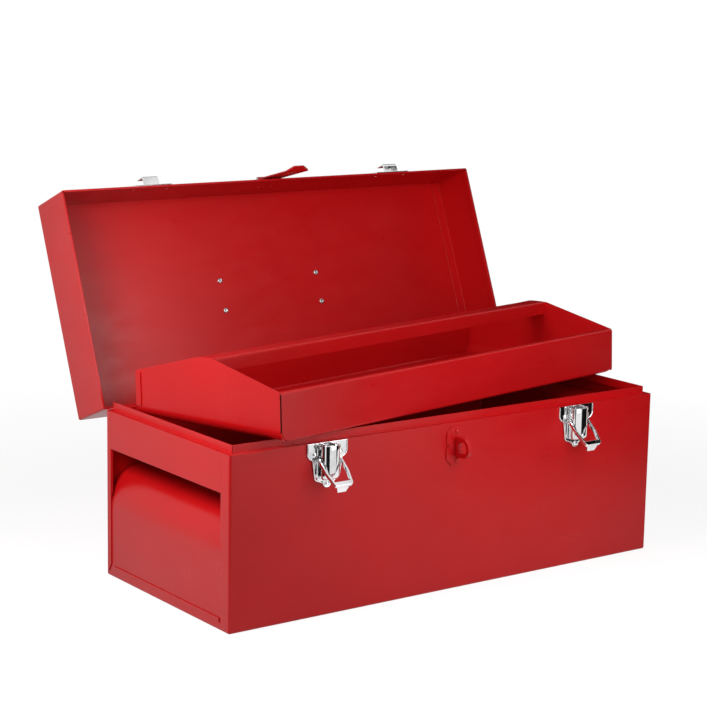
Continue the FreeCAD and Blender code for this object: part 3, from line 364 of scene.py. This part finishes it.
def dome(seat, radius):
    """The round of a rivet head, from its rim to near its crown"""
    turns = [math.radians(HEAD_TURN) * step / HEAD_STEPS for step in range(HEAD_STEPS + 1)]
    return [(seat + HEAD_RISE * math.sin(turn), radius * math.cos(turn)) for turn in turns]


def middle_of(points, axis):
    """The line of a solid's axis, as a point without height along it"""
    across = axis.orthogonal().normalized()
    middle = Vector()
    for direction in (across, axis.cross(across)):
        spread = [point.dot(direction) for point in points]
        middle += direction * ((min(spread) + max(spread)) / 2)
    return middle


def profile_of(points, axis, middle):
    """The (distance along, radius) rings of a many-sided rivet or pin, from end to end"""
    rings = set()
    for point in points:
        out = (point - middle - axis * point.dot(axis)).length
        if out > WELD:
            rings.add((round(point.dot(axis), ALONG_DIGITS), round(out, RADIUS_DIGITS)))
    profile = []
    for along in sorted({ring[0] for ring in rings}):
        widths = sorted(ring[1] for ring in rings if ring[0] == along)
        if profile and abs(profile[-1][1] - widths[0]) > abs(profile[-1][1] - widths[-1]):
            widths.reverse()
        profile += [(along, width) for width in (widths[0], widths[-1])[:len(widths)]]
    return profile


def with_head(profile, axis, tail_radius):
    """A rivet's profile with a domed head and, where it has a radius, a dimpled tail"""
    if profile[0][1] > profile[-1][1] or profile[1][1] > profile[-2][1]:
        axis = -axis
        profile = [(-along, width) for along, width in reversed(profile)]
    seat, rim = max(profile, key=lambda ring: ring[1])
    shank = [ring for ring in profile if ring[0] <= seat and ring[1] < rim]
    profile = shank + dome(seat, rim)
    if tail_radius:
        end = profile[0][0]
        tail = [(end + TAIL_RISE * deep, tail_radius * wide) for deep, wide in TAIL_SHAPE]
        profile = tail + [ring for ring in profile if ring[0] > end + TAIL_RISE]
    return profile, axis


def turned_copy(node, head=False, tail_radius=0.0):
    """Round copies of a node's many-sided rivets or pins"""
    source = welded(node)
    source.verts.ensure_lookup_table()
    source.verts.index_update()
    shape = bmesh.new()
    for points in islands(source):
        axis = min(AXES, key=lambda direction: levels(points, direction))
        middle = middle_of(points, axis)
        profile = profile_of(points, axis, middle)
        if head:
            profile, axis = with_head(profile, axis, tail_radius)
        lathe(shape, middle, axis, profile)
    source.free()
    bmesh.ops.recalc_face_normals(shape, faces=shape.faces)
    piece = as_piece(node + "_round", shape)
    piece.data.set_sharp_from_angle(angle=math.radians(SHARP_TURN))
    set_in_place(piece, node)
    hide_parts(node)


for name in SLOTS:
    if "rivets" in name:
        turned_copy(name, True, TAIL_RADIUS if name == "handle_rivets" else 0.0)
    elif name.startswith(PINS):
        turned_copy(name)
    elif name.startswith(PLATES):
        softened(name)


# The latches' covers, smoothly crowned with a rounded lower end, and the beads round their plates
BOX_FRONT = -109.5 * MM
LATCH_MIDDLE = 150.5 * MM
COVER_HALF = 9.7 * MM
COVER_SIDE = 5.2 * MM
COVER_CROWN = 12.2 * MM
COVER_RISE = 1.0 * MM
COVER_SHEET = 0.9 * MM
COVER_EDGE = 0.25 * MM
COVER_BACK = 1.8 * MM
COVER_TOP = 161.6 * MM
COVER_FOOT = 129.6 * MM
COVER_ROUND = 4.6 * MM
COVER_TAPER = 2.4
COVER_FULLNESS = 0.9
COVER_END_WIDTH = 0.70
COVER_END_RISE = 0.50
COVER_STEPS = 40
COVER_STRAIGHT_ROWS = 6
COVER_ROUND_ROWS = 10
PLATE_HALF = 22.25 * MM
PLATE_FRONT = BOX_FRONT - 1.2 * MM
PLATE_DROP = 35.8 * MM
PLATE_CORNER = 4.5 * MM
WALL_TOP = 163.3 * MM
EAR_DROP = 15.8 * MM
EAR_RADIUS = 7.4 * MM
EAR_TURN = -80
WAIST_HALF = 14.2 * MM
LUG_HALF = 4.5 * MM
LUG_DROP = 6.4 * MM
BEAD = 0.65 * MM
BEAD_SMOOTHNESS = 3
ARC_STEPS = 6


def cover_section(height):
    """Half of a round crown on straight sides, drawn in towards the rounded lower end"""
    near = max(0.0, 1.0 - (height - COVER_FOOT) / COVER_ROUND)
    shrink = math.sqrt(max(0.0, 1.0 - near ** COVER_TAPER))
    half = COVER_HALF * (COVER_END_WIDTH + (1.0 - COVER_END_WIDTH) * shrink)
    crown = COVER_BACK + (COVER_CROWN - COVER_BACK) * (COVER_END_RISE + (1.0 - COVER_END_RISE) * shrink)
    side = min(COVER_SIDE, crown - COVER_RISE)
    points = [(-half, COVER_BACK)]
    for step in range(COVER_STEPS + 1):
        turn = math.pi * step / COVER_STEPS
        points.append((-half * math.cos(turn), side + (crown - side) * math.sin(turn) ** COVER_FULLNESS))
    return points + [(half, COVER_BACK)]


def cover_heights():
    """The heights of the cover's sections, close together round its lower end"""
    straight = COVER_TOP - COVER_FOOT - COVER_ROUND
    heights = [COVER_TOP - straight * step / COVER_STRAIGHT_ROWS for step in range(COVER_STRAIGHT_ROWS + 1)]
    for step in range(1, COVER_ROUND_ROWS + 1):
        heights.append(COVER_FOOT + COVER_ROUND * (1 - math.sin(math.pi / 2 * step / COVER_ROUND_ROWS)))
    return heights


def make_cover(side, middle):
    """One latch cover in place of its faceted lever"""
    shape = bmesh.new()
    rows = []
    for height in cover_heights():
        section = cover_section(height)
        rows.append([shape.verts.new((middle + x, BOX_FRONT - out, height)) for x, out in section])
    for low, high in zip(rows, rows[1:]):
        for here in range(len(low) - 1):
            shape.faces.new((low[here], low[here + 1], high[here + 1], high[here])).smooth = True
    shape.faces.new(rows[-1])
    bmesh.ops.recalc_face_normals(shape, faces=shape.faces)
    piece = as_piece("latch_cover_" + side, shape)
    wall = piece.modifiers.new("sheet", "SOLIDIFY")
    wall.thickness = COVER_SHEET
    wall.offset = -1.0
    break_edges(piece, COVER_EDGE, SHARP_TURN)
    set_in_place(piece, "latch_lever_" + side)
    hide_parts("latch_lever_" + side)


def arc(centre, radius, first, last, steps=ARC_STEPS):
    """Points round a centre from one angle in degrees to another"""
    turns = [math.radians(first + (last - first) * step / steps) for step in range(steps + 1)]
    return [(centre[0] + radius * math.cos(turn), centre[1] + radius * math.sin(turn)) for turn in turns]


def make_bead(side, middle):
    """The rolled border along the edge of a latch plate, open at its top where the cover swings over it"""
    foot = WALL_TOP - PLATE_DROP
    ear = (PLATE_HALF - EAR_RADIUS, WALL_TOP - EAR_DROP + EAR_RADIUS)
    right = [(PLATE_HALF - BEAD, WALL_TOP - BEAD)]
    right += arc(ear, EAR_RADIUS - BEAD, 0, EAR_TURN)
    right += arc((WAIST_HALF - PLATE_CORNER, foot + PLATE_CORNER), PLATE_CORNER - BEAD, 0, -90)
    right += arc((0.0, foot - LUG_DROP + LUG_HALF), LUG_HALF - BEAD, 0, -90)
    outline = right + [(-x, z) for x, z in reversed(right[:-1])]
    curve = bpy.data.curves.new("latch_bead_" + side, "CURVE")
    curve.dimensions = "3D"
    curve.bevel_depth = BEAD
    curve.bevel_resolution = BEAD_SMOOTHNESS
    line = curve.splines.new("POLY")
    line.points.add(len(outline) - 1)
    for point, (x, z) in zip(line.points, outline):
        point.co = (middle + x, PLATE_FRONT, z, 1.0)
    set_in_place(bpy.data.objects.new("latch_bead_" + side, curve), "latch_plate_" + side)


for side, middle in (("left", -LATCH_MIDDLE), ("right", LATCH_MIDDLE)):
    make_cover(side, middle)
    make_bead(side, middle)


# The tray's tight lower corners and a strip of painted shade for the seam's shadow at its front left corner,
# in the tray's place at rest
TRAY_PLACE = Matrix(((0.985784, -0.16751, -0.013035, 9.3 * MM),
                     (0.167922, 0.984856, 0.043127, 13.8 * MM),
                     (0.005613, -0.044703, 0.998985, 168.749 * MM),
                     (0.0, 0.0, 0.0, 1.0)))
TRAY_HALF = 238.75 * MM
TRAY_DEEP = 99.0 * MM
TRAY_SHEET = 0.9 * MM
TRAY_ROLL = 9.0 * MM
TRAY_WALL = 44.5 * MM
TRAY_BEND = 2.0 * MM
TRAY_CORNER = 4.0 * MM
TRAY_CORNER_STEPS = 10
SEAM_SHADE_INSET = TRAY_SHEET / 5


def tray_sheet(name, outline, low, high, material):
    """A flat piece in the tray's own frame: an outline of (x, z) points between two values of y"""
    shape = bmesh.new()
    near = [shape.verts.new(TRAY_PLACE @ Vector((x, low, z))) for x, z in outline]
    far = [shape.verts.new(TRAY_PLACE @ Vector((x, high, z))) for x, z in outline]
    shape.faces.new(near)
    shape.faces.new(reversed(far))
    for here in range(len(outline)):
        after = (here + 1) % len(outline)
        shape.faces.new((near[here], near[after], far[after], far[here]))
    bmesh.ops.recalc_face_normals(shape, faces=shape.faces)
    piece = as_piece(name, shape)
    bpy.context.scene.collection.objects.link(piece)
    piece.data.materials.append(material)
    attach(piece, "tray")


def dress_tray():
    """Fill the four walls' lower corners and draw the seam's shadow as a strip of painted shade"""
    inner = TRAY_HALF - TRAY_SHEET
    rolled = arc((inner - TRAY_ROLL, TRAY_ROLL), TRAY_ROLL, 0, -90, TRAY_CORNER_STEPS)
    tight = arc((inner - TRAY_CORNER, TRAY_CORNER), TRAY_CORNER, -90, 0, TRAY_CORNER_STEPS)
    outline = [(x, z) for x, z in rolled + tight[:-1] if z > TRAY_BEND / 2]
    for end, across in (("left", -1), ("right", 1)):
        for wall, deep in (("front", -1), ("back", 1)):
            low, high = sorted((deep * TRAY_DEEP, deep * (TRAY_DEEP - TRAY_SHEET)))
            corner = [(across * x, z) for x, z in outline]
            tray_sheet("tray_corner_" + end + "_" + wall, corner, low, high, MATERIALS["red_paint"])
    top = TRAY_WALL - TRAY_SHEET
    strip = [(-inner, TRAY_ROLL), (-inner, top), (-TRAY_HALF, top), (-TRAY_HALF, TRAY_ROLL)]
    # A thin strip of painted shade stands for the seam's shadow at the front left corner
    tray_sheet("tray_seam_painted_shade", strip, SEAM_SHADE_INSET - TRAY_DEEP, TRAY_SHEET - TRAY_DEEP, seam_painted_shade())


dress_tray()


# Camera, solved from the box's own edges in the photo
CAMERA_PLACE = Vector((-1183.6, -1556.8, 583.4)) * MM
CAMERA_TURN = 0.632602
CAMERA_DROP = 0.188299
CAMERA_ROLL = 0.018451
FOCAL_PIXELS = 2026.2
IMAGE_PIXELS = 707.0
SENSOR = 36.0
CLIP = (0.05, 50.0)


def make_camera():
    """The photo's own camera"""
    data = bpy.data.cameras.new("camera")
    data.sensor_fit = "HORIZONTAL"
    data.sensor_width = SENSOR
    data.lens = FOCAL_PIXELS * SENSOR / IMAGE_PIXELS
    data.clip_start, data.clip_end = CLIP
    camera = bpy.data.objects.new("camera", data)
    bpy.context.scene.collection.objects.link(camera)
    ahead = Vector((math.sin(CAMERA_TURN) * math.cos(CAMERA_DROP),
                    math.cos(CAMERA_TURN) * math.cos(CAMERA_DROP), -math.sin(CAMERA_DROP)))
    level = Vector((math.cos(CAMERA_TURN), -math.sin(CAMERA_TURN), 0.0))
    above = level.cross(ahead)
    right = level * math.cos(CAMERA_ROLL) + above * math.sin(CAMERA_ROLL)
    up = above * math.cos(CAMERA_ROLL) - level * math.sin(CAMERA_ROLL)
    turn = Matrix((right, up, -ahead)).transposed().to_4x4()
    camera.matrix_world = Matrix.Translation(CAMERA_PLACE) @ turn
    bpy.context.scene.camera = camera


make_camera()


# Studio: each card has two corners on the floor and a height, each lamp a place, a target, a size and a power
FLOOR_SIZE = 12.0
FLOOR_COLOUR = (0.34, 0.34, 0.34, 1.0)
FLOOR_BOUNCE = (0.45, 0.45, 0.45, 1.0)
FLOOR_GLOW = 0.80
FLOOR_FADE = (0.45, 0.95)
CARD_COLOUR = (0.02, 0.02, 0.02, 1.0)
DULL = 0.9
WORLD_LIGHT = 0.18
CARDS = (("right_card", (0.30, -0.47), (0.80, -0.20), 0.9),
         ("near_card", (-0.17, -0.44), (-0.50, -0.48), 0.6),
         ("left_card", (-0.51, -0.30), (-0.56, 0.00), 0.6),
         ("back_card", (0.30, 1.10), (1.30, 0.30), 1.2))
LAMPS = (("left_box", (-0.58, -0.07, 0.45), (-0.2, 0, 0.15), 0.22, 2.25),
         ("front_box", (0.10, -0.46, 0.54), (0.0, 0, 0.12), 0.3, 1.25),
         ("low_box", (0.08, -0.50, 0.22), (0.0, 0, 0.15), 0.25, 0.6),
         ("back_box", (0.3, 1.3, 0.9), (0.0, 0, 0.15), 0.8, 2.5))


def seen_directly(tree):
    """1 where a surface is seen by the camera, in a mirror or through glass"""
    path = tree.nodes.new("ShaderNodeLightPath")
    both = tree.nodes.new("ShaderNodeMath")
    both.operation = "MAXIMUM"
    tree.links.new(path.outputs["Is Camera Ray"], both.inputs[0])
    tree.links.new(path.outputs["Is Glossy Ray"], both.inputs[1])
    every = tree.nodes.new("ShaderNodeMath")
    every.operation = "MAXIMUM"
    tree.links.new(both.outputs[0], every.inputs[0])
    tree.links.new(path.outputs["Is Transmission Ray"], every.inputs[1])
    return every


def make_world():
    """A white background that gives only a little light"""
    world = bpy.data.worlds.new("studio")
    bpy.context.scene.world = world
    world.use_nodes = True
    tree = world.node_tree
    tree.nodes.clear()
    out = tree.nodes.new("ShaderNodeOutputWorld")
    mix = tree.nodes.new("ShaderNodeMixShader")
    light = tree.nodes.new("ShaderNodeBackground")
    light.inputs["Color"].default_value = WHITE
    light.inputs["Strength"].default_value = WORLD_LIGHT
    shown = tree.nodes.new("ShaderNodeBackground")
    shown.inputs["Color"].default_value = WHITE
    tree.links.new(seen_directly(tree).outputs[0], mix.inputs["Fac"])
    tree.links.new(light.outputs[0], mix.inputs[1])
    tree.links.new(shown.outputs[0], mix.inputs[2])
    tree.links.new(mix.outputs[0], out.inputs["Surface"])


def make_floor():
    """A white sweep that glows where the camera or a reflection sees it, yet keeps the object's shadow"""
    mesh = bpy.data.meshes.new("floor")
    half = FLOOR_SIZE / 2
    corners = [(-half, -half, 0), (half, -half, 0), (half, half, 0), (-half, half, 0)]
    mesh.from_pydata(corners, [], [(0, 1, 2, 3)])
    floor = bpy.data.objects.new("floor", mesh)
    bpy.context.scene.collection.objects.link(floor)
    shader = Shader("pale_floor")
    tree = shader.tree
    shader.bsdf.inputs["Base Color"].default_value = FLOOR_COLOUR
    shader.bsdf.inputs["Roughness"].default_value = DULL
    shader.bsdf.inputs["Specular IOR Level"].default_value = 0.0
    glow = shader.add("ShaderNodeEmission")
    glow.inputs["Strength"].default_value = FLOOR_GLOW
    near = shader.add("ShaderNodeAddShader")
    tree.links.new(shader.bsdf.outputs[0], near.inputs[0])
    tree.links.new(glow.outputs[0], near.inputs[1])
    white = shader.add("ShaderNodeEmission")
    reach = shader.add("ShaderNodeVectorMath", operation="LENGTH")
    shader.link(shader.place, "Object", reach, "Vector")
    fade = shader.span(reach, "Value", low=0.0, high=1.0, stops=FLOOR_FADE)
    far = shader.add("ShaderNodeMixShader")
    tree.links.new(fade.outputs["Result"], far.inputs["Fac"])
    tree.links.new(near.outputs[0], far.inputs[1])
    tree.links.new(white.outputs[0], far.inputs[2])
    pale = shader.add("ShaderNodeBsdfDiffuse")
    pale.inputs["Color"].default_value = FLOOR_BOUNCE
    both = shader.add("ShaderNodeMixShader")
    tree.links.new(seen_directly(tree).outputs[0], both.inputs["Fac"])
    tree.links.new(pale.outputs[0], both.inputs[1])
    tree.links.new(far.outputs[0], both.inputs[2])
    tree.links.new(both.outputs[0], shader.out.inputs["Surface"])
    floor.data.materials.append(shader.material)


def make_card(name, first, last, height):
    """A dark card that stands beside the object, seen in its chrome and gloss alone"""
    mesh = bpy.data.meshes.new(name)
    corners = [(*first, 0.0), (*last, 0.0), (*last, height), (*first, height)]
    mesh.from_pydata(corners, [], [(0, 1, 2, 3)])
    card = bpy.data.objects.new(name, mesh)
    bpy.context.scene.collection.objects.link(card)
    card.visible_camera = False
    card.visible_diffuse = False
    card.visible_shadow = False
    shader = Shader(name)
    shader.bsdf.inputs["Base Color"].default_value = CARD_COLOUR
    shader.bsdf.inputs["Roughness"].default_value = DULL
    shader.bsdf.inputs["Specular IOR Level"].default_value = 0.0
    card.data.materials.append(shader.material)


def area_light(name, place, target, size, energy):
    """A square lamp that the camera doesn't see"""
    data = bpy.data.lights.new(name, "AREA")
    data.shape = "RECTANGLE"
    data.size = size
    data.size_y = size
    data.energy = energy
    lamp = bpy.data.objects.new(name, data)
    bpy.context.scene.collection.objects.link(lamp)
    lamp.visible_camera = False
    aim = (Vector(target) - Vector(place)).normalized()
    turn = aim.to_track_quat("-Z", "Y").to_matrix().to_4x4()
    lamp.matrix_world = Matrix.Translation(Vector(place)) @ turn


make_world()
make_floor()
for card in CARDS:
    make_card(*card)
for lamp in LAMPS:
    area_light(*lamp)

bpy.context.scene.view_settings.view_transform = "Standard"
